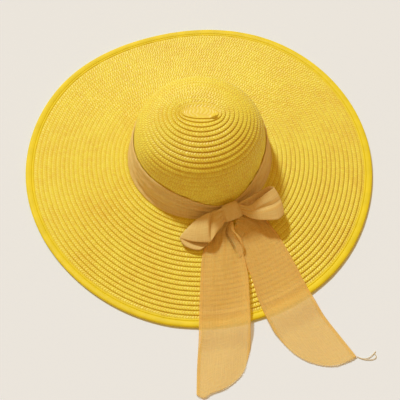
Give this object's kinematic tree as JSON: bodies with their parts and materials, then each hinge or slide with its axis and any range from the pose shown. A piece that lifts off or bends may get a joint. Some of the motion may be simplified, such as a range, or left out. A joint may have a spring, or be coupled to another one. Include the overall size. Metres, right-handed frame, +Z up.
{
  "type": "sun hat",
  "caption": "Wide-brimmed sun hat of sewn straw braid with a domed crown, a bound edge and a ribbon tied in a bow with long tails.",
  "frame": {"origin": "on the crown's axis, in the plane that the brim's edge rests on", "axes": "+Z up through the crown's tip, -Y towards the front where the bow is (24 degrees towards +X), +X to the hat's left as it is worn"},
  "size_m": [0.4787, 0.5809, 0.1354],
  "materials": {
    "straw_braid": "satin twisted paper-straw braid, bright yellow",
    "binding_tape": "satin woven tape, bright yellow",
    "ribbon_linen": "matte sheer plain-weave linen, peach tan"
  },
  "bodies": {
    "root": {"crown": "straw_braid", "brim": "straw_braid", "brim_binding": "binding_tape", "hatband": "ribbon_linen", "bow_knot": "ribbon_linen", "bow_loop_left": "ribbon_linen", "bow_loop_right": "ribbon_linen", "tail_left": "ribbon_linen", "tail_right": "ribbon_linen"}
  },
  "joints": []
}
